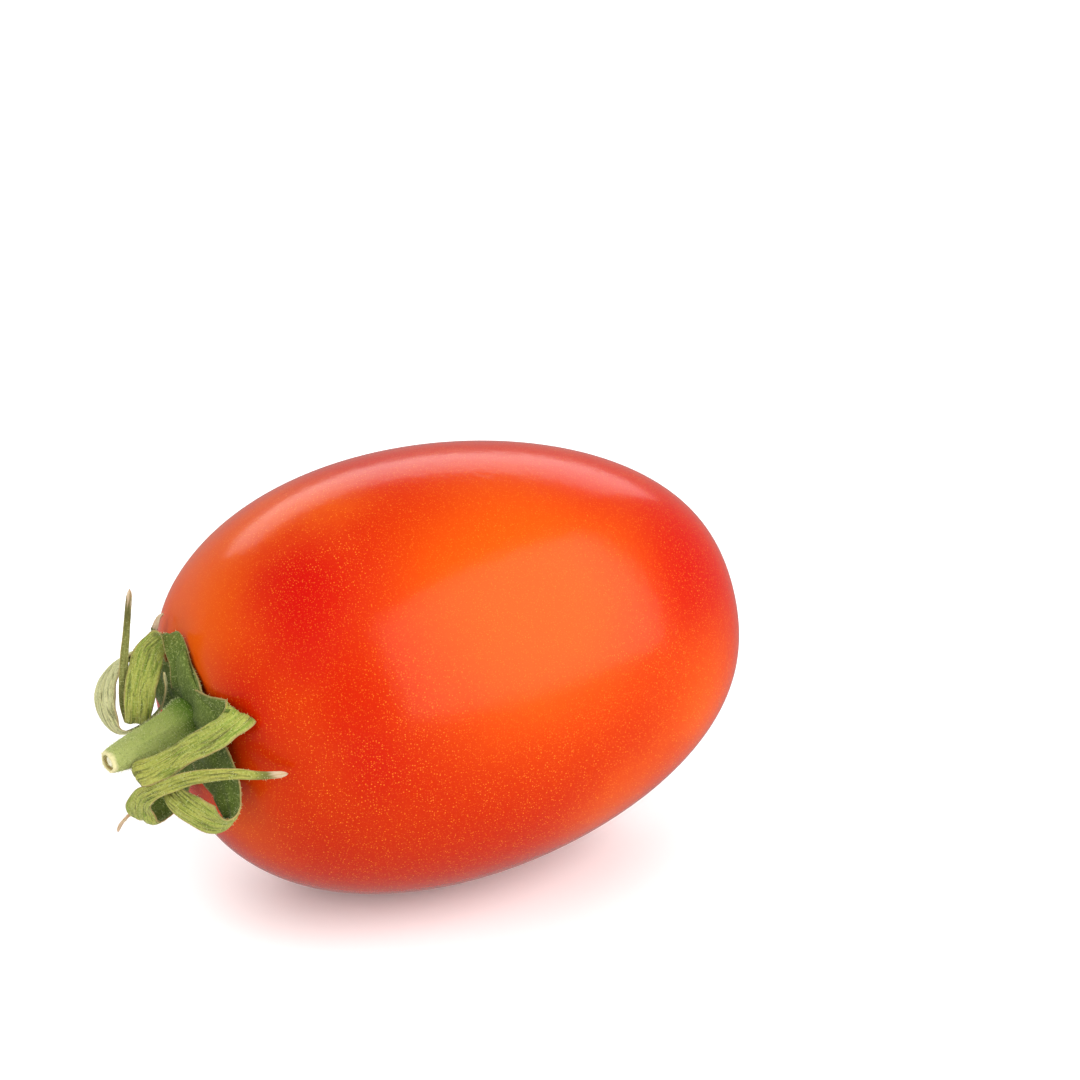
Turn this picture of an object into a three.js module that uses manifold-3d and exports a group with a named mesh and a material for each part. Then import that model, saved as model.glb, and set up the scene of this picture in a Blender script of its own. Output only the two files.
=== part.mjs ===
// A plum tomato lying on its side, with its green calyx and the stub of its stem.
// Millimetres, +Z up. The origin is on the surface that the fruit rests on, below its belly.
// The fruit's axis runs along X: the stem end is at -X and the blossom end at +X.

import * as THREE from 'three';
import { mergeVertices } from 'three/addons/utils/BufferGeometryUtils.js';
import Module from 'manifold-3d';

const wasm = await Module();
wasm.setup();

// Fruit
const BELLY_RADIUS = 26;
const AXIS_HEIGHT = 25.6;
const MEAN_HALF_LENGTH = 35;
const STEM_END_SHORTER_BY = 3;
const ROUNDNESS = 0.785;
const STEM_END_FULLER_BY = 0.04;
const OVAL = { count: 2, size: 0.015, turn: 2.26 };
const THREE_LOBES = { count: 3, size: 0.015, turn: 2.08 };
const FOUR_LOBES = { count: 4, size: 0.015, turn: 0.32 };
const DIMPLE_DEPTH = 2.2;
const DIMPLE_RADIUS = 6;
const FRUIT_SIDES = 56;
const FRUIT_RINGS = 34;

// Calyx. Its points are distances from this place on the axis: out from the fruit,
// towards the near side (-Y), and up.
const CALYX_X = -30;
const DISC_SIDES = 36;
const BLADE_THICKNESS = 0.7;
const BLADE_CUP = 0.35;
const BLADE_STRIPS = 3;
const STEPS_PER_POINT = 3;
const FULL_WIDTH = 4;

// The gap that the calyx keeps to the fruit and to the stem
const GAP = 0.35;

// Stem stub
const STEM_FOOT = 1.25;
const STEM_LENGTH = 11;
const STEM_TOWARDS_NEAR = 1.9;
const STEM_DROOP = 2.1;
const STEM_SAG = 0.8;
const STEM_SIDES = 20;

// Making of the solids
const FLAT_CUT_SIZE = 200;
const TANGENT_STEP = 0.01;
const SAME_VERTEX = 1e-4;

// The disc's outline: radius, and how far out of the calyx's place. Its back is cut to the fruit.
const DISC_OUTLINE = [[0, -2], [6.8, -2], [7.1, 1.3], [7, 1.8], [6.5, 2], [0, 2]];

// The stem's outline: radius and share of its length, from the foot to the bottom of the pith
const STEM_OUTLINE = [
  [0, 0], [2.4, 0], [2.7, 0.045], [2.6, 0.09], [2.35, 0.16], [2.15, 0.26], [2.05, 0.4], [1.97, 0.55],
  [1.82, 0.7], [1.62, 0.84], [1.42, 0.94], [1.27, 0.985], [1.15, 1], [0.97, 1], [0.85, 0.985],
  [0.7, 0.97], [0.46, 0.975], [0, 0.98],
];

// Each row is a point on a sepal's midrib: out, near, up, the blade's width there, and its turn
// about the midrib in degrees. A blade leaves the disc flat against the fruit, folds back and
// curls round, and ends in a thin dry tip.
const SEPALS = [
  // Above the stem: folds over at the top, hangs down, and sends its tail up again
  [
    [1.2, 0, 0, 7.5, 0],
    [1.6, 1, 3.2, 7.5, 5],
    [1.9, 0, 6.2, 3.4, 30],
    [2.1, -0.8, 8, 2.6, 55],
    [2.4, -1.8, 9.5, 2.4, 100],
    [2.8, -2.7, 9.4, 2.6, 150],
    [3.7, -3.9, 7.7, 3.1, 180],
    [4.4, -4.2, 5.9, 3.7, 185],
    [5.5, -3.7, 3.3, 3.7, 190],
    [6, -3.3, 1, 3.3, 190],
    [6, -3.9, -0.7, 2.6, 170],
    [5.9, -5.6, -1, 2, 150],
    [6.4, -6, 1.4, 1.4, 140],
    [6.5, -5.7, 5.2, 1.1, 145],
    [6.2, -5.2, 9.9, 0.9, 150],
    [5.8, -4.6, 15, 0.6, 150],
  ],
  // Far side: one open loop beside the stem
  [
    [1.2, 0, 0, 7, 0],
    [1.6, -3.4, 0.9, 6, 0],
    [1.6, -6, 1.3, 4, 0],
    [1.6, -8.2, 3.1, 3.4, 0],
    [1.8, -10, 4.1, 3.4, -10],
    [3.4, -10.8, 4.1, 3.5, -35],
    [5.6, -10.4, 3.4, 3.6, -50],
    [7.4, -9.2, 1.8, 3.5, -60],
    [8.1, -7.7, 0, 3.1, -58],
    [7.9, -6.3, -1.7, 2.4, -45],
    [7, -5.3, -2.4, 1.6, -10],
    [4.9, -4.8, -1.9, 1, 10],
    [3, -4.1, 0, 0.7, 15],
    [3, -2.2, 3.1, 0.6, 15],
    [3.4, -1.7, 5.5, 0.6, 15],
  ],
  // Near side: folds at the right and comes back along the underside of the stem
  [
    [1.2, 0, 0, 7, 0],
    [1.6, 4, 1.6, 6.8, 0],
    [1.7, 7.8, 3.1, 5, 0],
    [1.1, 10.4, 4.1, 4, 5],
    [0.8, 12, 4.9, 3.8, 57],
    [2, 12.3, 4.3, 3.5, 62],
    [3.5, 11.6, 3, 3.2, 65],
    [5.5, 9, 0.9, 3.1, 70],
    [7.3, 7, -1.2, 3.3, 65],
    [8.9, 5.6, -2.4, 3.2, 65],
    [9.9, 4.4, -3.1, 2.6, 55],
    [8.9, 4, -4.8, 1.9, 75],
    [8.6, 2, -7.4, 1.3, 110],
    [9, 0.5, -9.4, 0.9, 120],
    [9.9, -0.5, -11, 0.7, 135],
    [10.2, -1, -12.2, 0.6, 135],
  ],
  // Lower near side: a round loop back towards the stem
  [
    [1.2, 0, 0, 8, 0],
    [1.7, 4.8, -1.2, 8.2, -5],
    [2.1, 10.1, -3.3, 5.8, -15],
    [2.2, 12, -5.3, 4, -25],
    [2.7, 13.1, -6.7, 3.6, 10],
    [4.2, 11.8, -7.1, 3.9, 70],
    [6.1, 9.2, -6.1, 3.4, 95],
    [7.1, 7.4, -4.9, 2.6, 98],
    [6.6, 5, -4.3, 1.7, 100],
    [4.6, 3.4, -4.1, 0.9, 120],
  ],
  // Below: curls up at its far end and reaches back across the fruit
  [
    [1.2, 0, 0, 8, 0],
    [1.7, -0.2, -4.2, 6.4, 0],
    [1.7, -0.9, -7.2, 4, 5],
    [3.6, 0, -9.2, 3.4, -20],
    [6, 0.8, -10.1, 3.3, -35],
    [8.1, 2, -9.9, 3.5, -25],
    [9.3, 3.3, -8, 3.3, -20],
    [9.5, 5, -5.8, 2.5, -40],
    [8.7, 7.2, -4.2, 1.7, -60],
    [7.1, 9.6, -2.5, 1.7, -45],
    [5.2, 12, -1.4, 1.5, -40],
    [2.6, 14.2, -0.9, 1.3, -40],
    [0.3, 16, -0.9, 1, -40],
    [-2.1, 17.6, -0.6, 0.7, -40],
  ],
  // Far upper side: the small one, with a hooked dry tip
  [
    [1.2, 0, 0, 4, 0],
    [1.6, -4.2, 2.9, 3.4, 0],
    [1.6, -6.6, 5.6, 2.2, 0],
    [1.6, -7.9, 7.6, 1, 10],
    [1.6, -7.6, 8.5, 0.7, 40],
    [0.9, -8, 9.3, 0.6, 0],
    [0.4, -7.8, 9.8, 0.6, 0],
  ],
];

const fruitSkin = new THREE.MeshStandardMaterial({ color: 0xe23a12, roughness: 0.25, metalness: 0 });
const sepalGreen = new THREE.MeshStandardMaterial({ color: 0x6f8f3c, roughness: 0.75, metalness: 0 });
const stemGreen = new THREE.MeshStandardMaterial({ color: 0x86a552, roughness: 0.7, metalness: 0 });

// A geometry with its equal vertices shared, so that it is one closed mesh
function closed(geometry) {
  geometry.deleteAttribute('normal');
  geometry.deleteAttribute('uv');
  return mergeVertices(geometry, SAME_VERTEX);
}

// Moves each vertex of a geometry by a function of its place
function reshape(geometry, placeOf) {
  const points = geometry.getAttribute('position');
  const from = new THREE.Vector3();
  for (let i = 0; i < points.count; i += 1) {
    from.fromBufferAttribute(points, i);
    const to = placeOf(from);
    points.setXYZ(i, to.x, to.y, to.z);
  }
  return closed(geometry);
}

function toSolid(geometry) {
  return new wasm.Manifold(new wasm.Mesh({
    numProp: 3,
    vertProperties: Float32Array.from(geometry.getAttribute('position').array),
    triVerts: Uint32Array.from(geometry.getIndex().array),
  }));
}

function toGeometry(solid) {
  const mesh = solid.getMesh();
  const geometry = new THREE.BufferGeometry();
  geometry.setAttribute('position', new THREE.BufferAttribute(mesh.vertProperties, 3));
  geometry.setIndex(new THREE.BufferAttribute(mesh.triVerts, 1));
  return geometry;
}

// The place in the part's frame of a point given from the calyx's own place
function fromCalyx(out, near, up) {
  return new THREE.Vector3(CALYX_X - out, -near, AXIS_HEIGHT + up);
}

function lobe({ count, size, turn }, around) {
  return size * Math.cos(count * (around - turn));
}

// The fruit's skin, by the angle from the stem end and the angle around the axis
function skinPoint(fromStem, around) {
  const towardsStem = Math.cos(fromStem);
  const girth = Math.max(Math.sin(fromStem), 0) ** ROUNDNESS;
  const stemHalf = (1 + towardsStem) / 2;
  const lobes = 1 + lobe(OVAL, around) + stemHalf * lobe(THREE_LOBES, around) + lobe(FOUR_LOBES, around);
  const radius = BELLY_RADIUS * girth * (1 + STEM_END_FULLER_BY * towardsStem) * lobes;
  const dimple = towardsStem > 0 ? DIMPLE_DEPTH * Math.exp(-((radius / DIMPLE_RADIUS) ** 2)) : 0;
  return new THREE.Vector3(
    dimple - towardsStem * (MEAN_HALF_LENGTH - STEM_END_SHORTER_BY * towardsStem),
    radius * Math.cos(around),
    AXIS_HEIGHT + radius * Math.sin(around),
  );
}

// A sphere whose pole faces the stem end, moved onto the skin
function wholeFruit() {
  return reshape(new THREE.SphereGeometry(1, FRUIT_SIDES, FRUIT_RINGS), (p) => {
    const fromStem = Math.acos(THREE.MathUtils.clamp(p.y, -1, 1));
    return skinPoint(fromStem, Math.atan2(p.x, -p.z));
  });
}

// The fruit grown all over by the gap that the calyx keeps to it
function fruitWithGap() {
  const geometry = wholeFruit();
  geometry.computeVertexNormals();
  const points = geometry.getAttribute('position');
  const normals = geometry.getAttribute('normal');
  for (let i = 0; i < points.count; i += 1) {
    points.setXYZ(
      i,
      points.getX(i) + GAP * normals.getX(i),
      points.getY(i) + GAP * normals.getY(i),
      points.getZ(i) + GAP * normals.getZ(i),
    );
  }
  return toSolid(geometry);
}

function fruitOnItsFlat() {
  const below = new THREE.BoxGeometry(FLAT_CUT_SIZE, FLAT_CUT_SIZE, FLAT_CUT_SIZE);
  below.translate(0, 0, -FLAT_CUT_SIZE / 2);
  return toSolid(wholeFruit()).subtract(toSolid(closed(below)));
}

// The stem's own line, bent a little, by the share of its length
function stemPoint(share) {
  return fromCalyx(
    STEM_FOOT + STEM_LENGTH * share,
    STEM_TOWARDS_NEAR * share,
    -STEM_SAG * Math.sin(Math.PI * share) - STEM_DROOP * share ** 2,
  );
}

// The stem: a flared foot, a tapering stub and a cut end with its hollow pith
function stemSolid(grow) {
  const profile = STEM_OUTLINE.map(([radius, share]) => {
    const foot = share === 0 ? grow : 0;
    const swell = radius > 0 ? grow : 0;
    return new THREE.Vector2(radius + swell, share * STEM_LENGTH - foot);
  });
  const turned = new THREE.LatheGeometry(profile, STEM_SIDES);
  const across = new THREE.Vector3();
  const upward = new THREE.Vector3();
  const along = new THREE.Vector3();
  return toSolid(reshape(turned, (p) => {
    const share = Math.max(p.y / STEM_LENGTH, 0);
    const centre = stemPoint(share);
    along.subVectors(stemPoint(share + TANGENT_STEP), centre).normalize();
    across.crossVectors(along, new THREE.Vector3(0, 0, 1)).normalize();
    upward.crossVectors(across, along).normalize();
    return centre
      .addScaledVector(across, p.x)
      .addScaledVector(upward, p.z)
      .addScaledVector(along, Math.min(p.y, 0));
  }));
}

// The disc in the middle of the calyx, that every sepal grows from
function discSolid() {
  const profile = DISC_OUTLINE.map(([radius, out]) => new THREE.Vector2(radius, out));
  const turned = new THREE.LatheGeometry(profile, DISC_SIDES);
  return toSolid(reshape(turned, (p) => fromCalyx(p.y, p.x, -p.z)));
}

// One sepal as a closed blade: a flat box whose length follows the midrib
function sepalSolid(rows) {
  const midrib = new THREE.CatmullRomCurve3(
    rows.map(([out, near, up]) => new THREE.Vector3(out, near, up)), false, 'catmullrom', 0.5,
  );
  const widthAndTurn = new THREE.CatmullRomCurve3(
    rows.map(([, , , width, turn]) => new THREE.Vector3(width, turn, 0)), false, 'catmullrom', 0.5,
  );
  const steps = (rows.length - 1) * STEPS_PER_POINT;
  const stations = [];
  const side = new THREE.Vector3().crossVectors(midrib.getTangent(0), new THREE.Vector3(-1, 0, 0));
  for (let i = 0; i <= steps; i += 1) {
    const share = i / steps;
    const along = midrib.getTangent(share);
    side.addScaledVector(along, -side.dot(along)).normalize();
    const { x: width, y: turn } = widthAndTurn.getPoint(share);
    const across = side.clone().applyAxisAngle(along, THREE.MathUtils.degToRad(turn));
    stations.push({ centre: midrib.getPoint(share), across, width, face: across.clone().cross(along) });
  }
  const blade = new THREE.BoxGeometry(1, 1, 1, BLADE_STRIPS, steps, 1);
  return toSolid(reshape(blade, (p) => {
    const { centre, across, width, face } = stations[Math.round((p.y + 0.5) * steps)];
    const cup = BLADE_CUP * Math.min(width / FULL_WIDTH, 1) * (4 * p.x * p.x - 0.5);
    const place = centre.clone()
      .addScaledVector(across, p.x * width)
      .addScaledVector(face, p.z * BLADE_THICKNESS - cup);
    return fromCalyx(place.x, place.y, place.z);
  }));
}

function calyxSolid() {
  const blades = SEPALS.map(sepalSolid);
  const grown = blades.reduce((whole, blade) => whole.add(blade), discSolid());
  return grown.subtract(fruitWithGap()).subtract(stemSolid(GAP));
}

const tomato = new THREE.Group();
const pieces = [
  ['fruit', fruitOnItsFlat(), fruitSkin],
  ['calyx', calyxSolid(), sepalGreen],
  ['stem', stemSolid(0), stemGreen],
];
for (const [name, solid, material] of pieces) {
  const mesh = new THREE.Mesh(toGeometry(solid), material);
  mesh.name = name;
  tomato.add(mesh);
}

export default tomato;
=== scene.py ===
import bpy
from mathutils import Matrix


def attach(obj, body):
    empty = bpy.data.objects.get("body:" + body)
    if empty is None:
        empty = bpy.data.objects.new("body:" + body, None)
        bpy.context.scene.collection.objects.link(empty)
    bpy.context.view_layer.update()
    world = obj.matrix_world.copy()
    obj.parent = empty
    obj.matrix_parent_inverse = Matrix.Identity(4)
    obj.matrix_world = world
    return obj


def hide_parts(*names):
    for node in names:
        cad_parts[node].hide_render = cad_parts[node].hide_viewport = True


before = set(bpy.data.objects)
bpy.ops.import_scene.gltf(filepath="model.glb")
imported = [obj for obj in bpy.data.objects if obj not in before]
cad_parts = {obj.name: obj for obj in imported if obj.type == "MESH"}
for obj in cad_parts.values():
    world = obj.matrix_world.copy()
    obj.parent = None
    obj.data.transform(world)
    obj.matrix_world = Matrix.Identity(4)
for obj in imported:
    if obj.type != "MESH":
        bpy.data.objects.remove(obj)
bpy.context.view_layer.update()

import math
import random

import bmesh
import bpy
from mathutils import Matrix, Quaternion, Vector, noise

# A plum tomato on its side, in a plain studio. Shapes are worked out in millimetres, in the
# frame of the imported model, and become metres when a mesh is finished.
MM = 0.001

# Camera
FIELD_OF_VIEW = 18
SENSOR = 36
PICTURE_SIDE = 1080
CAMERA_AZIMUTH = -29
CAMERA_ELEVATION = 23
CAMERA_DISTANCE = 397
BELLY_PIXEL = (432, 661)

# Fruit
BELLY_RADIUS = 26
AXIS_HEIGHT = 25.6
MEAN_HALF_LENGTH = 35
STEM_END_SHORTER_BY = 3
ROUNDNESS = 0.785
STEM_END_FULLER_BY = 0.04
OVAL = (2, 0.015, 2.26)
THREE_LOBES = (3, 0.015, 2.08)
FOUR_LOBES = (4, 0.015, 0.32)
DIMPLE_DEPTH = 2.2
DIMPLE_RADIUS = 6
PLEATS = 7
PLEAT_HEIGHT = 0.16
PLEAT_PLACE = 0.42
PLEAT_SPREAD = 0.2
PLEAT_SWAY = 1.5
SCAR_RADIUS = 1.3
SCAR_DEPTH = 0.35
FRUIT_SIDES = 256
FRUIT_RINGS = 160
HALVINGS = 24

# Calyx. Its points are distances from a place on the fruit's axis: out from the fruit, towards
# the near side (-Y), and up.
CALYX_X = -30
STEPS_PER_POINT = 12
LEAF_SIDES = 60
EDGE_THICKNESS = 0.25
EXTRA_THICKNESS = 0.3
FULL_WIDTH = 4
TIP_LENGTH = 0.8
LEAF_CUP = 0.45
MIDRIB_FOLD = 0.24
MIDRIB_WIDTH = 0.2
HELD_TO = 7
FREE_FROM = 12
EDGE_FLATNESS = 0.6
EDGE_WAVE = 0.5
WIDTH_WAVE = 0.1
RIB_SPACING = 0.62
RIB_DRIFT = 1.1
RIB_SHARPNESS = 3
RIB_DEPTH = 0.14
WRINKLE_DEPTH = 0.09
STAR_RADIUS = 5.9
STAR_POINT = 3.0
STAR_POINT_SPREAD = 0.26
STAR_RIM_LIFT = 0.75
STAR_POINT_SINK = 0.1
STAR_SWELL = 1.25
STAR_SWELL_ROUNDNESS = 0.8
STAR_RIPPLE = 0.12
STAR_UNDERSIDE = 0.45
STAR_SIDES = 160
STAR_RINGS = 48
STAR_NUMBER = 9

# Stem stub
STEM_FOOT = 1.25
STEM_LENGTH = 11
STEM_TOWARDS_NEAR = 1.9
STEM_DROOP = 2.1
STEM_SAG = 0.8
STEM_SIDES = 72
STEM_RINGS = 150
STEM_FLUTES = 5
FLUTE_DEPTH = 0.035
STEM_GRAIN = 0.05
CUT_RAGGEDNESS = 0.12

# Down
HAIR_RADIUS = 0.022
HAIR_LEAN = 0.6
HAIR_ROOTED = 0.46
HAIR_BATCH = 40
CALYX_HAIRS = {"count": 6500, "length": 0.38, "seed": 11}
STEM_HAIRS = {"count": 2400, "length": 0.42, "seed": 12}

# Each row is a point on a sepal's midrib: out, near, up, the blade's width there, and its turn
# about the midrib in degrees.
SEPALS = [
    # Above the stem: folds over at the top, hangs down, and sends its tail up again
    [
        (1.2, 0, 0, 7.5, 0),
        (1.6, 1, 3.2, 7.5, 5),
        (1.9, 0, 6.2, 3.4, 30),
        (2.1, -0.8, 8, 2.6, 55),
        (2.4, -1.8, 9.5, 2.4, 100),
        (2.8, -2.7, 9.4, 2.6, 150),
        (3.7, -3.9, 7.7, 3.1, 180),
        (4.4, -4.2, 5.9, 3.7, 185),
        (5.5, -3.7, 3.3, 3.7, 190),
        (6, -3.3, 1, 3.3, 190),
        (6, -3.9, -0.7, 2.6, 170),
        (5.9, -5.6, -1, 2, 150),
        (6.4, -6, 1.4, 1.4, 140),
        (6.5, -5.7, 5.2, 1.1, 145),
        (6.2, -5.2, 9.9, 0.9, 150),
        (5.8, -4.6, 15, 0.6, 150),
    ],
    # Far side: one open loop beside the stem
    [
        (1.2, 0, 0, 7, 0),
        (1.6, -3.4, 0.9, 6, 0),
        (1.6, -6, 1.3, 4, 0),
        (1.6, -8.2, 3.1, 3.4, 0),
        (1.8, -10, 4.1, 3.4, -10),
        (3.4, -10.8, 4.1, 3.5, -35),
        (5.6, -10.4, 3.4, 3.6, -50),
        (7.4, -9.2, 1.8, 3.5, -60),
        (8.1, -7.7, 0, 3.1, -58),
        (7.9, -6.3, -1.7, 2.4, -45),
        (7, -5.3, -2.4, 1.6, -10),
        (4.9, -4.8, -1.9, 1, 10),
        (3, -4.1, 0, 0.7, 15),
        (3, -2.2, 3.1, 0.6, 15),
        (3.4, -1.7, 5.5, 0.6, 15),
    ],
    # Near side: folds at the right and comes back along the underside of the stem
    [
        (1.2, 0, 0, 7, 0),
        (1.6, 4, 1.6, 6.8, 0),
        (1.7, 7.8, 3.1, 5, 0),
        (1.1, 10.4, 4.1, 4, 5),
        (0.8, 12, 4.9, 3.8, 57),
        (2, 12.3, 4.3, 3.5, 62),
        (3.5, 11.6, 3, 3.2, 65),
        (5.5, 9, 0.9, 3.1, 70),
        (7.3, 7, -1.2, 3.3, 65),
        (8.9, 5.6, -2.4, 3.2, 65),
        (9.9, 4.4, -3.1, 2.6, 55),
        (8.9, 4, -4.8, 1.9, 75),
        (8.6, 2, -7.4, 1.3, 110),
        (9, 0.5, -9.4, 0.9, 120),
        (9.9, -0.5, -11, 0.7, 135),
        (10.2, -1, -12.2, 0.6, 135),
    ],
    # Lower near side: a round loop back towards the stem
    [
        (1.2, 0, 0, 8, 0),
        (1.7, 4.8, -1.2, 8.2, -5),
        (2.1, 10.1, -3.3, 5.8, -15),
        (2.2, 12, -5.3, 4, -25),
        (2.7, 13.1, -6.7, 3.6, 10),
        (4.2, 11.8, -7.1, 3.9, 70),
        (6.1, 9.2, -6.1, 3.4, 95),
        (7.1, 7.4, -4.9, 2.6, 98),
        (6.6, 5, -4.3, 1.7, 100),
        (4.6, 3.4, -4.1, 0.9, 120),
    ],
    # Below: curls up at its far end and reaches back across the fruit
    [
        (1.2, 0, 0, 8, 0),
        (1.7, -0.2, -4.2, 6.4, 0),
        (1.7, -0.9, -7.2, 4, 5),
        (3.6, 0, -9.2, 3.4, -20),
        (6, 0.8, -10.1, 3.3, -35),
        (8.1, 2, -9.9, 3.5, -25),
        (9.3, 3.3, -8, 3.3, -20),
        (9.5, 5, -5.8, 2.5, -40),
        (8.7, 7.2, -4.2, 1.7, -60),
        (7.1, 9.6, -2.5, 1.7, -45),
        (5.2, 12, -1.4, 1.5, -40),
        (2.6, 14.2, -0.9, 1.3, -40),
        (0.3, 16, -0.9, 1, -40),
        (-2.1, 17.6, -0.6, 0.7, -40),
    ],
    # Far upper side: the small one, with a hooked dry tip
    [
        (1.2, 0, 0, 4, 0),
        (1.6, -4.2, 2.9, 3.4, 0),
        (1.6, -6.6, 5.6, 2.2, 0),
        (1.6, -7.9, 7.6, 1, 10),
        (1.6, -7.6, 8.5, 0.7, 40),
        (0.9, -8, 9.3, 0.6, 0),
        (0.4, -7.8, 9.8, 0.6, 0),
    ],
]

# The share of each sepal's length at which it turns dry, or above 1 where it stays green
DRY_FROM = [0.985, 1.1, 0.86, 1.1, 0.955, 0.62]

# The stem's outline: radius and share of its length, from the foot to the bottom of the pith
STEM_OUTLINE = [
    (0, 0), (2.4, 0), (2.7, 0.045), (2.6, 0.09), (2.35, 0.16), (2.15, 0.26), (2.05, 0.4),
    (1.97, 0.55), (1.82, 0.7), (1.62, 0.84), (1.42, 0.94), (1.27, 0.985), (1.15, 1.0),
    (0.97, 1.0), (0.85, 0.985), (0.7, 0.97), (0.46, 0.975), (0, 0.98),
]


def clamp(value, low, high):
    return min(max(value, low), high)


def smooth(low, high, value):
    share = clamp((value - low) / (high - low), 0, 1)
    return share * share * (3 - 2 * share)


def catmull_rom(rows, share):
    """The numbers of a row at a share of the smooth curve through all the rows."""
    spans = len(rows) - 1
    place = clamp(share, 0, 1) * spans
    first = min(int(place), spans - 1)
    t = place - first
    start, end = rows[first], rows[first + 1]
    before = rows[first - 1] if first > 0 else [2 * a - b for a, b in zip(start, end)]
    after = rows[first + 2] if first + 2 <= spans else [2 * b - a for a, b in zip(start, end)]
    return [
        0.5 * (2 * b + (c - a) * t + (2 * a - 5 * b + 4 * c - d) * t**2 + (3 * b - a - 3 * c + d) * t**3)
        for a, b, c, d in zip(before, start, end, after)
    ]


def from_calyx(out, near, up):
    """The place in the frame of a point given from the calyx's own place."""
    return Vector((CALYX_X - out, -near, AXIS_HEIGHT + up))


def lobe(kind, around):
    count, size, turn = kind
    return size * math.cos(count * (around - turn))


def skin_point(from_stem, around):
    """The fruit's skin, by the angle from the stem end and the angle around the axis."""
    towards_stem = math.cos(from_stem)
    girth = max(math.sin(from_stem), 0) ** ROUNDNESS
    stem_half = (1 + towards_stem) / 2
    lobes = 1 + lobe(OVAL, around) + stem_half * lobe(THREE_LOBES, around) + lobe(FOUR_LOBES, around)
    radius = BELLY_RADIUS * girth * (1 + STEM_END_FULLER_BY * towards_stem) * lobes
    pleat = math.exp(-(((from_stem - PLEAT_PLACE) / PLEAT_SPREAD) ** 2))
    radius += PLEAT_HEIGHT * pleat * math.cos(PLEATS * around + PLEAT_SWAY * math.sin(2 * around))
    x = -towards_stem * (MEAN_HALF_LENGTH - STEM_END_SHORTER_BY * towards_stem)
    if towards_stem > 0:
        x += DIMPLE_DEPTH * math.exp(-((radius / DIMPLE_RADIUS) ** 2))
    else:
        x -= SCAR_DEPTH * math.exp(-((radius / SCAR_RADIUS) ** 2))
    return Vector((x, radius * math.cos(around), AXIS_HEIGHT + radius * math.sin(around)))


def skin_out(radius, around):
    """How far out of the calyx's place the skin is, at a distance from the axis."""
    low, high = 0.0, math.pi / 3
    for _ in range(HALVINGS):
        middle = (low + high) / 2
        place = skin_point(middle, around)
        reached = math.hypot(place.y, place.z - AXIS_HEIGHT)
        low, high = (middle, high) if reached < radius else (low, middle)
    return CALYX_X - skin_point(low, around).x


def finish_mesh(name, bm, finish):
    """A smooth object from a bmesh in millimetres."""
    bmesh.ops.recalc_face_normals(bm, faces=bm.faces)
    bmesh.ops.scale(bm, vec=(MM, MM, MM), verts=bm.verts)
    for face in bm.faces:
        face.smooth = True
    mesh = bpy.data.meshes.new(name)
    bm.to_mesh(mesh)
    bm.free()
    mesh.materials.append(finish)
    piece = bpy.data.objects.new(name, mesh)
    bpy.context.scene.collection.objects.link(piece)
    return piece


def long_tube(sides, steps):
    """A closed tube of unit radius with a ring of vertices at each step, from z 0 to z steps."""
    bm = bmesh.new()
    bmesh.ops.create_cone(
        bm, cap_ends=True, cap_tris=False, segments=sides, radius1=1, radius2=1, depth=steps,
    )
    upright = [edge for edge in bm.edges if abs(edge.verts[0].co.z - edge.verts[1].co.z) > 0.5]
    bmesh.ops.subdivide_edges(bm, edges=upright, cuts=steps - 1)
    bmesh.ops.translate(bm, vec=(0, 0, steps / 2), verts=bm.verts)
    return bm


def fruit_skin(finish):
    bm = bmesh.new()
    bmesh.ops.create_uvsphere(bm, u_segments=FRUIT_SIDES, v_segments=FRUIT_RINGS, radius=1)
    for vertex in bm.verts:
        from_stem = math.acos(clamp(vertex.co.z, -1, 1))
        around = math.atan2(vertex.co.y, vertex.co.x)
        vertex.co = skin_point(from_stem, around)
        vertex.co.z = max(vertex.co.z, 0)
    return finish_mesh("tomato_skin", bm, finish)


def leaf_stations(rows):
    """Where the blade is at each step of its midrib, and how it lies there."""
    steps = (len(rows) - 1) * STEPS_PER_POINT
    stations = []
    side = None
    length = 0
    for step in range(steps + 1):
        share = step / steps
        *centre, width, turn = catmull_rom(rows, share)
        centre = Vector(centre)
        nudge = 0.2 / steps
        ahead = Vector(catmull_rom(rows, share + nudge)[:3])
        behind = Vector(catmull_rom(rows, share - nudge)[:3])
        along = (ahead - behind).normalized()
        if side is None:
            side = along.cross(Vector((-1, 0, 0)))
        side = (side - along * side.dot(along)).normalized()
        across = Quaternion(along, math.radians(turn)) @ side
        if stations:
            length += (centre - stations[-1]["centre"]).length
        stations.append({
            "centre": centre, "across": across, "face": across.cross(along),
            "width": width, "share": share, "length": length,
        })
    for station in stations:
        station["width"] *= min(1, (length - station["length"]) / TIP_LENGTH) ** 0.5
    return stations


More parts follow.
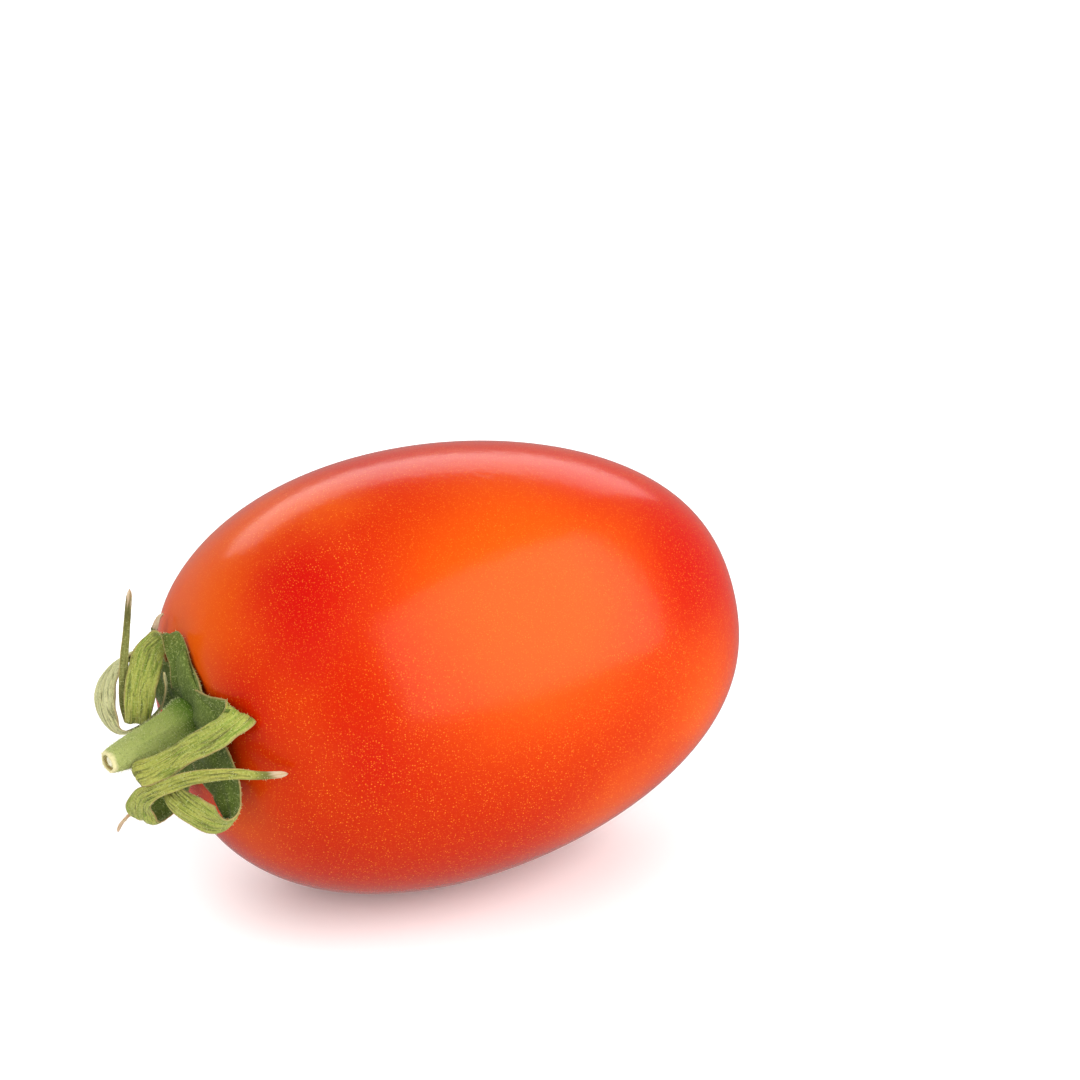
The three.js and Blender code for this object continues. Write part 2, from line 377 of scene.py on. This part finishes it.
def leaf_point(station, angle, number):
    """A point of the blade's skin, by the angle round its section, and how deep in a groove it is."""
    side = math.cos(angle)
    depth = math.sin(angle)
    half_width = station["width"] / 2
    breadth = min(station["width"] / FULL_WIDTH, 1)
    length = station["length"]
    free = smooth(HELD_TO, FREE_FROM, length)
    edge_wave = noise.noise(Vector((side * 1.5, length * 0.35, number * 7.3)))
    half_width *= 1 + WIDTH_WAVE * free * noise.noise(Vector((side, length * 0.5, number * 3.1)))
    thickness = (EDGE_THICKNESS + EXTRA_THICKNESS * breadth) / 2
    lift = math.copysign(abs(depth) ** EDGE_FLATNESS, depth) * thickness
    cup = LEAF_CUP * breadth * (side * side - 0.5)
    fold = MIDRIB_FOLD * breadth * free * math.exp(-((side / MIDRIB_WIDTH) ** 2))
    wave = EDGE_WAVE * breadth * free * side * side * edge_wave
    place = side * half_width
    drift = RIB_DRIFT * noise.noise(Vector((place * 0.7, length * 0.24, number * 5.7)))
    shallow = smooth(-0.35, 0.3, noise.noise(Vector((place * 0.9, length * 0.4, number * 2.9))))
    rib = (0.5 + 0.5 * math.cos(2 * math.pi * (place / RIB_SPACING + drift))) ** RIB_SHARPNESS
    rib_strength = (1 if depth > 0 else 0.35) * (0.25 + 0.75 * free) * abs(depth) ** 0.5
    rib_strength *= 0.25 + 0.75 * shallow
    groove = rib * rib_strength * min(1, station["width"] / 1.5)
    wrinkle = noise.noise(Vector((place * 2.1, length * 1.1, number * 4.1))) * abs(depth) ** 0.5
    lift -= math.copysign(RIB_DEPTH * groove + WRINKLE_DEPTH * breadth * wrinkle, depth)
    point = (
        station["centre"]
        + station["across"] * place
        + station["face"] * (lift - cup - fold + wave)
    )
    return from_calyx(*point), groove


def star_reach(around):
    """The disc's radius in a direction: longer towards each sepal."""
    pull = 0
    for rows in SEPALS:
        direction = math.atan2(rows[2][2], rows[2][1])
        turn = (around - direction + math.pi) % (2 * math.pi) - math.pi
        pull = max(pull, math.exp(-((turn / STAR_POINT_SPREAD) ** 2)) * min(1, rows[2][3] / FULL_WIDTH))
    return STAR_RADIUS + STAR_POINT * pull, pull


def add_disc(bm, ribbon, form):
    """The star-shaped disc that joins the sepals under the stem."""
    disc = bmesh.ops.create_uvsphere(bm, u_segments=STAR_SIDES, v_segments=STAR_RINGS, radius=1)
    for vertex in disc["verts"]:
        share = math.hypot(vertex.co.x, vertex.co.y)
        around = math.atan2(vertex.co.y, vertex.co.x)
        upper = vertex.co.z > 0
        height = abs(vertex.co.z)
        reach, pull = star_reach(around)
        radius = share * reach
        rim = skin_out(radius, math.pi - around)
        rim += STAR_RIM_LIFT - STAR_POINT_SINK * pull
        swell = STAR_SWELL * height ** STAR_SWELL_ROUNDNESS * (0.7 + 0.3 * pull)
        ripple = STAR_RIPPLE * noise.noise(Vector((vertex.co.x * 5, vertex.co.y * 5, 3.3))) * height
        out = rim + swell + ripple if upper else rim - STAR_UNDERSIDE * height
        near, up = radius * math.cos(around), radius * math.sin(around)
        vertex[ribbon] = (near, up, STAR_NUMBER)
        vertex[form] = (0, 0, 0)
        vertex.co = from_calyx(out, near, up)


def calyx_leaves(finish):
    whole = bmesh.new()
    ribbon = whole.verts.layers.float_vector.new("ribbon")
    form = whole.verts.layers.float_vector.new("form")
    whole.verts.layers.float.new("relief")
    add_disc(whole, ribbon, form)
    for number, rows in enumerate(SEPALS):
        stations = leaf_stations(rows)
        leaf = long_tube(LEAF_SIDES, len(stations) - 1)
        ribbon = leaf.verts.layers.float_vector.new("ribbon")
        form = leaf.verts.layers.float_vector.new("form")
        relief = leaf.verts.layers.float.new("relief")
        for vertex in leaf.verts:
            station = stations[round(vertex.co.z)]
            angle = math.atan2(vertex.co.y, vertex.co.x)
            side = math.cos(angle)
            inner = 0.5 + 0.5 * clamp(2.5 * math.sin(angle), -1, 1)
            vertex[ribbon] = (side * station["width"] / 2, station["length"], number)
            vertex.co, groove = leaf_point(station, angle, number)
            vertex[form] = (station["share"] / DRY_FROM[number], inner, abs(side))
            vertex[relief] = groove
        mesh = bpy.data.meshes.new("leaf")
        leaf.to_mesh(mesh)
        leaf.free()
        whole.from_mesh(mesh)
        bpy.data.meshes.remove(mesh)
    return finish_mesh("calyx_leaves", whole, finish)


def stem_centre(share):
    """The stem's own line, bent a little, by the share of its length."""
    return from_calyx(
        STEM_FOOT + STEM_LENGTH * share,
        STEM_TOWARDS_NEAR * share,
        -STEM_SAG * math.sin(math.pi * share) - STEM_DROOP * share**2,
    )


def green_stem(finish):
    """A flared foot, a tapering fluted stub, and a cut end with its hollow pith."""
    bm = long_tube(STEM_SIDES, STEM_RINGS)
    form = bm.verts.layers.float_vector.new("form")
    for vertex in bm.verts:
        step = vertex.co.z / STEM_RINGS
        around = math.atan2(vertex.co.y, vertex.co.x)
        radius, share = catmull_rom(STEM_OUTLINE, step)
        share = max(share, 0)
        along = (stem_centre(share + 0.01) - stem_centre(share)).normalized()
        across = along.cross(Vector((0, 0, 1))).normalized()
        upward = across.cross(along).normalized()
        vertex[form] = (share, max(radius, 0), step)
        outside = smooth(0.03, 0.1, step) * (1 - smooth(0.7, 0.76, step))
        flute = FLUTE_DEPTH * math.cos(STEM_FLUTES * around + 2 * share)
        grain = STEM_GRAIN * noise.noise(Vector((4 * math.cos(around), 4 * math.sin(around), 3 * share)))
        radius = max(radius, 0) * (1 + outside * (flute + grain))
        unevenness = noise.noise(Vector((2 * vertex.co.x, 2 * vertex.co.y, 8)))
        ragged = CUT_RAGGEDNESS * smooth(0.6, 0.72, step) * unevenness
        vertex.co = (
            stem_centre(share)
            + across * (radius * math.cos(around))
            + upward * (radius * math.sin(around))
            + along * ragged
        )
    return finish_mesh("green_stem", bm, finish)


def hairs(name, grown_on, finish, count, length, seed):
    """Short bristles standing on a piece, each a thin three-sided cone."""
    chance = random.Random(seed)
    polygons = grown_on.data.polygons
    chosen = chance.choices(polygons, [polygon.area for polygon in polygons], k=count)
    whole = bmesh.new()
    for first in range(0, count, HAIR_BATCH):
        tuft = bmesh.new()
        for polygon in chosen[first:first + HAIR_BATCH]:
            lean = Vector([chance.uniform(-HAIR_LEAN, HAIR_LEAN) for _ in range(3)])
            upright = (polygon.normal + lean).normalized()
            size = length * chance.uniform(0.45, 1)
            middle = polygon.center / MM + upright * size * HAIR_ROOTED
            turn = upright.to_track_quat("Z", "Y").to_matrix().to_4x4()
            bmesh.ops.create_cone(
                tuft, cap_ends=True, cap_tris=True, segments=3, radius1=HAIR_RADIUS, radius2=0,
                depth=size, matrix=Matrix.Translation(middle) @ turn,
            )
        mesh = bpy.data.meshes.new("tuft")
        tuft.to_mesh(mesh)
        tuft.free()
        whole.from_mesh(mesh)
        bpy.data.meshes.remove(mesh)
    return finish_mesh(name, whole, finish)


class Wire:
    """An output of a finish's node. Arithmetic on it adds Math nodes."""

    def __init__(self, finish, socket):
        self.finish = finish
        self.socket = socket

    def math(self, operation, *values):
        node = self.finish.node("Math", {"operation": operation}, dict(enumerate(values)))
        return Wire(self.finish, node.outputs[0])

    def __add__(self, other):
        return self.math("ADD", self, other)

    def __radd__(self, other):
        return self.math("ADD", other, self)

    def __sub__(self, other):
        return self.math("SUBTRACT", self, other)

    def __rsub__(self, other):
        return self.math("SUBTRACT", other, self)

    def __mul__(self, other):
        return self.math("MULTIPLY", self, other)

    def __pow__(self, other):
        return self.math("POWER", self, other)


class Finish:
    """A material under construction."""

    def __init__(self, name):
        self.material = bpy.data.materials.new(name)
        self.material.use_nodes = True
        self.tree = self.material.node_tree
        self.tree.nodes.clear()

    def node(self, kind, settings, sockets):
        made = self.tree.nodes.new("ShaderNode" + kind)
        for key, value in settings.items():
            setattr(made, key, value)
        for key, value in sockets.items():
            if isinstance(value, Wire):
                self.tree.links.new(value.socket, made.inputs[key])
            else:
                made.inputs[key].default_value = value
        return made

    def wire(self, node, output=0):
        return Wire(self, node.outputs[output])

    def millimetres(self):
        place = self.wire(self.node("TexCoord", {}, {}), "Object")
        return self.wire(self.node("VectorMath", {"operation": "SCALE"}, {0: place, "Scale": 1 / MM}))

    def distance(self, vector, centre):
        node = self.node("VectorMath", {"operation": "DISTANCE"}, {0: vector, 1: centre})
        return self.wire(node, "Value")

    def attribute(self, name):
        return self.wire(self.node("Attribute", {"attribute_name": name}, {}), "Vector")

    def level(self, name):
        return self.wire(self.node("Attribute", {"attribute_name": name}, {}), "Fac")

    def split(self, vector):
        node = self.node("SeparateXYZ", {}, {0: vector})
        return [self.wire(node, axis) for axis in range(3)]

    def magnitude(self, value):
        return value.math("ABSOLUTE", value)

    def join(self, x, y, z):
        return self.wire(self.node("CombineXYZ", {}, {0: x, 1: y, 2: z}))

    def noise(self, vector, scale, detail=2.0, roughness=0.5):
        sockets = {"Vector": vector, "Scale": scale, "Detail": detail, "Roughness": roughness}
        return self.wire(self.node("TexNoise", {}, sockets), 0)

    def rise(self, value, low, high):
        """0 below low, 1 above high, and smooth between them."""
        sockets = {"Value": value, "From Min": low, "From Max": high}
        return self.wire(self.node("MapRange", {"interpolation_type": "SMOOTHSTEP"}, sockets))

    def blend(self, factor, first, second):
        """A colour between two, by a factor."""
        sockets = {0: factor, 6: first, 7: second}
        return self.wire(self.node("Mix", {"data_type": "RGBA"}, sockets), 2)

    def specks(self, vector, scale):
        """The distance to the nearest of many scattered points, and that point's own number."""
        node = self.node("TexVoronoi", {}, {"Vector": vector, "Scale": scale})
        number = self.split(self.wire(node, "Color"))[0]
        return self.wire(node, "Distance"), number

    def bump(self, height, distance, strength, under=None):
        sockets = {"Height": height, "Distance": distance, "Strength": strength}
        if under is not None:
            sockets["Normal"] = under
        return self.wire(self.node("Bump", {}, sockets))

    def surface(self, sockets):
        shader = self.wire(self.node("BsdfPrincipled", {}, sockets))
        self.node("OutputMaterial", {}, {"Surface": shader})
        return self.material


DEEP_RED = (0.44, 0.0008, 0.0001, 1)
RIPE_RED = (0.46, 0.017, 0.0002, 1)
ORANGE_RED = (0.58, 0.072, 0.001, 1)
UNDERSIDE_PAINTED_SHADE_RED = (0.38, 0.016, 0.0002, 1)
SPECK_GOLD = (0.75, 0.22, 0.015, 1)
SCAR_BROWN = (0.16, 0.06, 0.02, 1)

# Deeper red patches, partly the ripest skin and partly painted dark reflection and painted shade by the
# calyx: where each is, and its radius
RIPE_AND_PAINTED_DARK_PATCHES = [
    ((-23, -13, 42), 19), ((-19, -21, 34), 19), ((-14, -14, 45), 15), ((-7, -12, 49), 13),
    ((26.5, -15, 38), 17), ((21, -18, 38), 12), ((12, -12, 48), 11), ((-30, -12, 31), 14),
    ((-20, -23, 25), 14), ((-22, -11, 44), 15),
]
# The patches that are more orange, partly the skin's own tone and partly painted highlight on the flank
# facing the key light and painted light on shaded skin low on the near side and by the calyx: where each
# is, and its radius
ORANGE_AND_PAINTED_LIGHT_PATCHES = [
    ((1, -21, 40), 30), ((24, -20, 21), 19), ((12, -21, 12), 18), ((-29, 2, 38), 16), ((-28, -8, 16), 15),
]


def skin_finish():
    """Ripe skin: red, deeper in some patches (partly ripeness, partly painted dark reflection and painted
    shade) and more orange in others (partly its own tone, partly painted highlight and painted light),
    with painted shade towards the underside and fine golden specks.
    """
    skin = Finish("ripe_skin")
    place = skin.millimetres()
    x, y, z = skin.split(place)
    patches = skin.noise(place, 0.08, 3, 0.5)
    # More orange on the upper shoulder by the stem end: partly the skin's own tone, partly painted light
    # on the lit top.
    shoulder = skin.rise(patches * 20 - x, 14, 38) * skin.rise(z, 16, 36) * 0.85
    freckled = skin.rise(patches, 0.4, 0.8) * skin.rise(z, 5, 30) * 0.35
    colour = skin.blend(shoulder + freckled, RIPE_RED, ORANGE_RED)
    clear = 1.0
    # Deeper red patches: partly ripeness, partly painted dark reflection and painted shade.
    for centre, reach in RIPE_AND_PAINTED_DARK_PATCHES:
        away = skin.distance(place, centre) + patches * 6
        clear = (0.15 + skin.rise(away, 3, reach) * 0.85) * clear
    colour = skin.blend(1 - clear, colour, DEEP_RED)
    # More orange patches: partly the skin's own tone, partly painted highlight and painted light.
    plain = 1.0
    for centre, reach in ORANGE_AND_PAINTED_LIGHT_PATCHES:
        away = skin.distance(place, centre) + patches * 8
        plain = skin.rise(away, reach * 0.25, reach) * plain
    colour = skin.blend(1 - plain, colour, ORANGE_RED)
    # Darker red towards the underside, less inside the orange patches: painted shade.
    colour = skin.blend((1 - skin.rise(z, -5, 48)) * (0.4 + plain * 0.6), colour, UNDERSIDE_PAINTED_SHADE_RED)
    distance, number = skin.specks(place, 3.4)
    crowd = skin.rise(patches + skin.rise(z * -1, -45, 0) * 0.3, 0.35, 0.8)
    speck = (1 - skin.rise(distance, 0.1, 0.34)) * skin.rise(number, 0.25, 0.9) * (0.35 + crowd)
    colour = skin.blend(speck * 0.6, colour, SPECK_GOLD)
    fine_distance, fine_number = skin.specks(place, 5.4)
    fine = (1 - skin.rise(fine_distance, 0.12, 0.4)) * skin.rise(fine_number, 0.2, 0.9)
    colour = skin.blend(fine * 0.36, colour, SPECK_GOLD)
    from_axis = (y * y + (z - AXIS_HEIGHT) * (z - AXIS_HEIGHT)) ** 0.5
    blossom_end = skin.rise(x, 30, 34)
    scar = (1 - skin.rise(from_axis, 0.7, 1.3)) * blossom_end
    colour = skin.blend(scar, colour, SCAR_BROWN)
    uneven = skin.noise(place, 0.9, 3)
    normal = skin.bump(uneven, 0.05 * MM, 0.6)
    return skin.surface({
        "Base Color": colour,
        "Roughness": 0.16 + uneven * 0.08 + scar * 0.3,
        "Normal": normal,
        "Specular IOR Level": 0.12,
        "Subsurface Weight": 0.1,
        "Subsurface Radius": (1.0, 0.25, 0.1),
        "Subsurface Scale": 0.002,
    })


OUTER_GREEN = (0.05, 0.085, 0.007, 1)
OUTER_PALE = (0.2, 0.25, 0.05, 1)
INNER_GREEN = (0.12, 0.2, 0.016, 1)
INNER_PALE = (0.35, 0.37, 0.075, 1)
HUB_PAINTED_SHADE_GREEN = (0.03, 0.062, 0.004, 1)
AGED_PALE = (0.35, 0.3, 0.06, 1)
AGED_OUTER = (0.25, 0.22, 0.07, 1)
BLEACHED = (0.68, 0.62, 0.42, 1)
CREASE_BROWN = (0.06, 0.06, 0.014, 1)
DOWN_PALE = (0.38, 0.43, 0.14, 1)
GRAIN_DARK = (0.05, 0.075, 0.012, 1)
DRY_BUFF = (0.42, 0.25, 0.12, 1)
DRY_PALE = (0.5, 0.39, 0.26, 1)


def sepal_finish():
    """Wilting sepals: dark and downy outside, light and ribbed inside, dry at the tips."""
    sepal = Finish("wilted_sepal")
    place = sepal.millimetres()
    across, along, number = sepal.split(sepal.attribute("ribbon"))
    share, inner, edge = sepal.split(sepal.attribute("form"))
    groove = sepal.level("relief")
    stretched = sepal.join(across * 3.4, along * 0.35, number * 7)
    streaks = sepal.noise(stretched, 1.0, 4, 0.6)
    veins = sepal.noise(sepal.join(across * 2.6, along * 0.09, number * 7), 1.0, 1)
    mottle = sepal.noise(place, 0.7, 3)
    down = sepal.noise(place, 6, 2, 0.7)
    aged = sepal.rise(share, 0.3, 0.9)
    outer = sepal.blend(down * 0.5 + mottle * 0.35 + aged * 0.4 - 0.2, OUTER_GREEN, OUTER_PALE)
    outer = sepal.blend(aged * 0.55, outer, AGED_OUTER)
    light = sepal.blend(sepal.rise(streaks, 0.3, 0.62) + (mottle - 0.5) * 0.5, INNER_GREEN, INNER_PALE)
    light = sepal.blend(aged * 0.45, light, AGED_PALE)
    far_loop = (1 - sepal.rise(sepal.magnitude(number - 1), 0.2, 0.4)) * sepal.rise(share, 0.2, 0.4)
    light = sepal.blend(far_loop * 0.5, light, BLEACHED)
    colour = sepal.blend(inner, outer, light)
    x, y, z = sepal.split(place)
    # Dark green round the stem's foot, low on the disc and sepal bases: painted shade where the stem
    # meets them.
    from_hub = (y * y + (z - AXIS_HEIGHT) * (z - AXIS_HEIGHT)) ** 0.5 + mottle
    hub = (1 - sepal.rise(from_hub, 3.2, 6.5)) * sepal.rise(x, -34, -32)
    colour = sepal.blend(hub * 0.75, colour, HUB_PAINTED_SHADE_GREEN)
    # Brown crease lines along the streaks on the inner face, and darker in the rib grooves as painted
    # shade.
    crease = sepal.rise(streaks, 0.55, 0.66) * inner * 0.35 + sepal.rise(groove, 0.35, 1.0) * 0.75
    colour = sepal.blend(crease, colour, CREASE_BROWN)
    vein = (1 - sepal.rise(sepal.magnitude(veins - 0.5), 0.008, 0.035)) * inner
    colour = sepal.blend(vein * 0.6, colour, CREASE_BROWN)
    distance, bright = sepal.specks(place, 3.2)
    dot = (1 - sepal.rise(distance, 0.1, 0.26)) * sepal.rise(bright, 0.4, 0.9)
    colour = sepal.blend(dot * 0.75, colour, DOWN_PALE)
    grain = sepal.noise(place, 4.2, 2, 0.6)
    colour = sepal.blend(sepal.rise(grain, 0.52, 0.7) * 0.45, colour, GRAIN_DARK)
    colour = sepal.blend((1 - sepal.rise(grain, 0.32, 0.46)) * 0.4, colour, DOWN_PALE)
    worn = sepal.rise(edge + streaks * 0.2, 0.98, 1.12) * 0.5
    colour = sepal.blend(worn, colour, DRY_BUFF)
    dying = sepal.rise(share + streaks * 0.08, 0.97, 1.02)
    colour = sepal.blend(dying * 0.7, colour, CREASE_BROWN)
    dry = sepal.rise(share + streaks * 0.08, 1.02, 1.06)
    straw = sepal.blend(sepal.rise(streaks, 0.38, 0.6), DRY_BUFF, DRY_PALE)
    colour = sepal.blend(dry, colour, straw)
    fibre = sepal.bump(streaks, 0.15 * MM, 0.9)
    normal = sepal.bump(down, 0.1 * MM, 0.6, fibre)
    return sepal.surface({
        "Base Color": colour,
        "Roughness": 0.62 + mottle * 0.15,
        "Normal": normal,
        "Specular IOR Level": 0.25,
        "Sheen Weight": 0.06,
        "Sheen Roughness": 0.4,
        "Sheen Tint": (0.9, 1.0, 0.75, 1),
    })


STEM_GREEN = (0.16, 0.235, 0.024, 1)
STEM_PALE = (0.35, 0.37, 0.13, 1)
STEM_FOOT_PAINTED_SHADE_GREEN = (0.055, 0.11, 0.005, 1)
CUT_RIM = (0.62, 0.56, 0.3, 1)
PITH_RING = (0.26, 0.19, 0.06, 1)
PITH_WHITE = (0.8, 0.76, 0.6, 1)


def stem_finish():
    """A green stub with pale down, and a dried cut end."""
    stem = Finish("green_stem")
    place = stem.millimetres()
    share, radius, step = stem.split(stem.attribute("form"))
    mottle = stem.noise(place, 0.8, 3)
    down = stem.noise(place, 5, 3, 0.7)
    colour = stem.blend(down * 0.6 + mottle * 0.5 + share * 0.45 - 0.3, STEM_GREEN, STEM_PALE)
    # Darker green at the stem's foot: painted shade by the disc.
    colour = stem.blend(1 - stem.rise(share, 0.02, 0.3), colour, STEM_FOOT_PAINTED_SHADE_GREEN)
    distance, bright = stem.specks(place, 3.0)
    dot = (1 - stem.rise(distance, 0.1, 0.28)) * stem.rise(bright, 0.35, 0.9)
    colour = stem.blend(dot * 0.75, colour, DOWN_PALE)
    grain = stem.noise(place, 4.2, 2, 0.6)
    colour = stem.blend(stem.rise(grain, 0.52, 0.7) * 0.4, colour, GRAIN_DARK)
    rim = stem.rise(share + mottle * 0.05, 0.97, 1.015)
    colour = stem.blend(rim, colour, CUT_RIM)
    inside = stem.rise(step, 0.72, 0.76)
    colour = stem.blend(inside * (1 - stem.rise(radius + mottle * 0.1, 0.88, 1.05)), colour, PITH_RING)
    colour = stem.blend(inside * (1 - stem.rise(radius + mottle * 0.2, 0.6, 0.75)), colour, PITH_WHITE)
    normal = stem.bump(down, 0.12 * MM, 0.7)
    return stem.surface({
        "Base Color": colour,
        "Roughness": 0.6 + mottle * 0.15,
        "Normal": normal,
        "Specular IOR Level": 0.25,
        "Sheen Weight": 0.06,
        "Sheen Roughness": 0.4,
        "Sheen Tint": (0.9, 1.0, 0.75, 1),
    })


HAIR_GREEN = (0.42, 0.5, 0.14, 1)
HAIR_PALE = (0.76, 0.78, 0.45, 1)


def hair_finish():
    hair = Finish("pale_down")
    tint = hair.noise(hair.millimetres(), 1.5)
    colour = hair.blend(tint, HAIR_GREEN, HAIR_PALE)
    return hair.surface({"Base Color": colour, "Roughness": 0.5})


WHITE = (1, 1, 1, 1)
FLOOR_SHADE = (0.93, 0.93, 0.93, 1)
FLOOR_WHITE = (0.95, 0.95, 0.95, 1)
FLOOR_REACH = 3000


def floor_finish():
    floor = Finish("white_floor")
    shade = floor.noise(floor.millimetres(), 0.002)
    return floor.surface({
        "Base Color": floor.blend(shade, FLOOR_SHADE, FLOOR_WHITE),
        "Roughness": 0.6,
        "Specular IOR Level": 0.2,
        "Emission Color": WHITE,
        "Emission Strength": 0.1,
    })


def make_floor():
    """A plain white floor that the fruit doesn't mirror, so its lower skin keeps its red."""
    bm = bmesh.new()
    bmesh.ops.create_grid(bm, x_segments=1, y_segments=1, size=FLOOR_REACH)
    floor = finish_mesh("floor", bm, floor_finish())
    floor.visible_glossy = False


def direction(azimuth, elevation):
    """The unit vector towards a place seen from the fruit: azimuth 0 is -Y, and 90 is +X."""
    turn, rise = math.radians(azimuth), math.radians(elevation)
    return Vector((math.sin(turn) * math.cos(rise), -math.cos(turn) * math.cos(rise), math.sin(rise)))


def make_camera():
    belly = Vector((0, 0, AXIS_HEIGHT))
    back = direction(CAMERA_AZIMUTH, CAMERA_ELEVATION)
    right = Vector((0, 0, 1)).cross(back).normalized()
    above = back.cross(right)
    half_view = math.tan(math.radians(FIELD_OF_VIEW / 2))
    pixel = 2 * half_view * CAMERA_DISTANCE / PICTURE_SIDE
    middle = PICTURE_SIDE / 2
    place = belly + back * CAMERA_DISTANCE
    aim = belly + right * (middle - BELLY_PIXEL[0]) * pixel + above * (BELLY_PIXEL[1] - middle) * pixel
    data = bpy.data.cameras.new("camera")
    data.sensor_width = SENSOR
    data.lens = SENSOR / 2 / half_view
    camera = bpy.data.objects.new("camera", data)
    camera.location = place * MM
    camera.rotation_mode = "QUATERNION"
    camera.rotation_quaternion = (aim - place).to_track_quat("-Z", "Y")
    bpy.context.scene.collection.objects.link(camera)
    bpy.context.scene.camera = camera


def soft_light(name, azimuth, elevation, distance, width, height, radiance, mirrored=True):
    """A rectangular soft box that faces the fruit, mirrored in it or not. Sizes in millimetres."""
    towards = direction(azimuth, elevation)
    data = bpy.data.lights.new(name, "AREA")
    data.shape = "RECTANGLE"
    data.size = width * MM
    data.size_y = height * MM
    data.energy = radiance * math.pi * data.size * data.size_y
    light = bpy.data.objects.new(name, data)
    light.location = (Vector((0, 0, AXIS_HEIGHT)) + towards * distance) * MM
    light.rotation_mode = "QUATERNION"
    light.rotation_quaternion = (-towards).to_track_quat("-Z", "Y")
    light.visible_camera = False
    light.visible_glossy = mirrored
    bpy.context.scene.collection.objects.link(light)


def make_world(strength):
    world = bpy.data.worlds.new("studio")
    world.use_nodes = True
    background = world.node_tree.nodes["Background"]
    background.inputs["Color"].default_value = WHITE
    background.inputs["Strength"].default_value = strength
    bpy.context.scene.world = world


def place_piece(piece, node):
    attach(piece, "root")
    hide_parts(node)


make_camera()
make_floor()
make_world(strength=0.4)
soft_light("key", azimuth=27, elevation=26, distance=600, width=1000, height=600, radiance=3.2)
soft_light("back", azimuth=156, elevation=31, distance=700, width=1080, height=300, radiance=2.9)
soft_light(
    "left", azimuth=-85, elevation=50, distance=900, width=1500, height=1500, radiance=1.6,
    mirrored=False,
)
bpy.context.scene.view_settings.view_transform = "Standard"

place_piece(fruit_skin(skin_finish()), "fruit")
leaves = calyx_leaves(sepal_finish())
place_piece(leaves, "calyx")
stem = green_stem(stem_finish())
place_piece(stem, "stem")
down = hair_finish()
place_piece(hairs("calyx_hairs", leaves, down, **CALYX_HAIRS), "calyx")
place_piece(hairs("stem_hairs", stem, down, **STEM_HAIRS), "stem")
